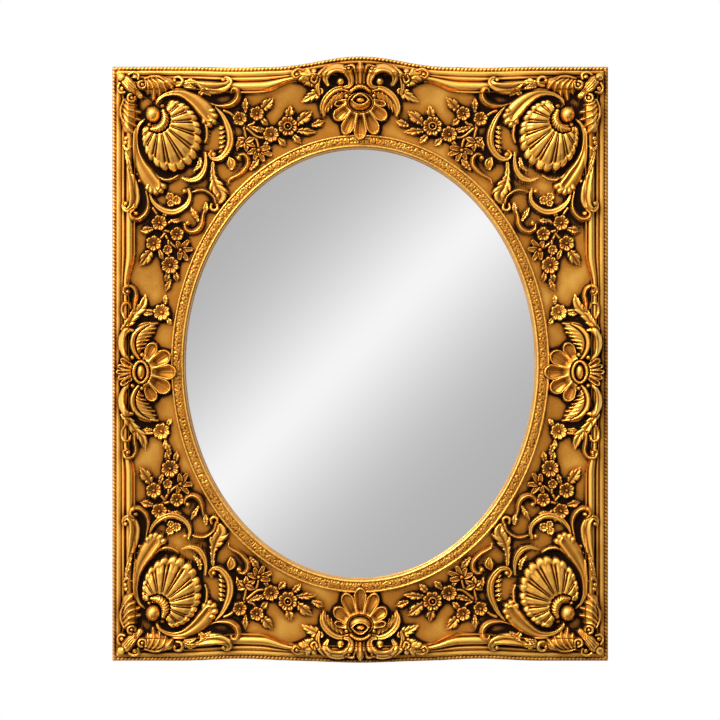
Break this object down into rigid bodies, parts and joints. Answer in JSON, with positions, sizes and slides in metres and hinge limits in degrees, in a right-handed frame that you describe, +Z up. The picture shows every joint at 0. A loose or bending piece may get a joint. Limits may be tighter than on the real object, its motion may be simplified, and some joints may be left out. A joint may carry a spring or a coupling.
{
  "type": "convex wall mirror",
  "caption": "Domed oval wall mirror in a rectangular swept gilt frame with corner shells, scrollwork and flower sprays; turn buttons hold the back board and hinged rings hang it.",
  "frame": {"origin": "on the wall, straight behind the middle of the oval glass", "axes": "+Z up the wall, +Y into the wall, +X to the right as the frame is seen from the front"},
  "size_m": [0.58, 0.0464, 0.7093],
  "materials": {
    "gilt": "aged gold leaf over moulded composition on wood, dark in the recesses",
    "dark_gilt": "darker, rubbed gold leaf over moulded composition",
    "silvered_glass": "polished glass, silvered behind",
    "felt": "dark felt",
    "board": "plain hardboard",
    "steel": "zinc-plated",
    "wall_pad": "matte"
  },
  "bodies": {
    "frame": {"rail_top": "gilt", "edge_strip_top": "dark_gilt", "rail_right": "gilt", "edge_strip_right": "dark_gilt", "rail_bottom": "gilt", "edge_strip_bottom": "dark_gilt", "rail_left": "gilt", "edge_strip_left": "dark_gilt", "spandrel_panel": "gilt", "sight_ring": "gilt", "mirror_glass": "silvered_glass", "packing_ring": "felt", "back_board": "board", "ornament_top": "gilt", "ornament_bottom": "gilt", "ornament_left": "gilt", "ornament_right": "gilt", "corner_top_left": "gilt", "corner_top_right": "gilt", "corner_bottom_left": "gilt", "corner_bottom_right": "gilt", "spray_top_left": "dark_gilt", "spray_top_right": "dark_gilt", "spray_bottom_left": "dark_gilt", "spray_bottom_right": "dark_gilt", "side_spray_top_left": "dark_gilt", "side_spray_top_right": "dark_gilt", "side_spray_bottom_left": "dark_gilt", "side_spray_bottom_right": "dark_gilt", "button_screw_1": "steel", "button_screw_2": "steel", "button_screw_3": "steel", "button_screw_4": "steel", "button_screw_5": "steel", "button_screw_6": "steel", "hanger_strap_left": "steel", "hanger_strap_right": "steel", "strap_screw_left_1": "steel", "strap_screw_left_2": "steel", "strap_screw_right_1": "steel", "strap_screw_right_2": "steel", "wall_pad_top_left": "wall_pad", "wall_pad_top_right": "wall_pad", "wall_pad_bottom_left": "wall_pad", "wall_pad_bottom_right": "wall_pad"},
    "button_1": {"turn_button_1": "steel"},
    "button_2": {"turn_button_2": "steel"},
    "button_3": {"turn_button_3": "steel"},
    "button_4": {"turn_button_4": "steel"},
    "button_5": {"turn_button_5": "steel"},
    "button_6": {"turn_button_6": "steel"},
    "ring_left": {"hanger_ring_left": "steel"},
    "ring_right": {"hanger_ring_right": "steel"}
  },
  "joints": [
    {"name": "turn_button_1_pivot", "type": "hinge", "parent": "frame", "child": "button_1", "pos_m": [0.19606, -0.01375, 0.13452], "axis": [0, 1, 0], "range_deg": [-90, 90]},
    {"name": "turn_button_2_pivot", "type": "hinge", "parent": "frame", "child": "button_2", "pos_m": [0, -0.01375, 0.272], "axis": [0, 1, 0], "range_deg": [-90, 90]},
    {"name": "turn_button_3_pivot", "type": "hinge", "parent": "frame", "child": "button_3", "pos_m": [-0.19606, -0.01375, 0.13452], "axis": [0, 1, 0], "range_deg": [-90, 90]},
    {"name": "turn_button_4_pivot", "type": "hinge", "parent": "frame", "child": "button_4", "pos_m": [-0.19606, -0.01375, -0.13452], "axis": [0, 1, 0], "range_deg": [-90, 90]},
    {"name": "turn_button_5_pivot", "type": "hinge", "parent": "frame", "child": "button_5", "pos_m": [0, -0.01375, -0.272], "axis": [0, 1, 0], "range_deg": [-90, 90]},
    {"name": "turn_button_6_pivot", "type": "hinge", "parent": "frame", "child": "button_6", "pos_m": [0.19606, -0.01375, -0.13452], "axis": [0, 1, 0], "range_deg": [-90, 90]},
    {"name": "hanger_ring_left_hinge", "type": "hinge", "parent": "frame", "child": "ring_left", "pos_m": [-0.272, -0.0037, 0.15], "axis": [1, 0, 0], "range_deg": [0, 180]},
    {"name": "hanger_ring_right_hinge", "type": "hinge", "parent": "frame", "child": "ring_right", "pos_m": [0.272, -0.0037, 0.15], "axis": [1, 0, 0], "range_deg": [0, 180]}
  ]
}
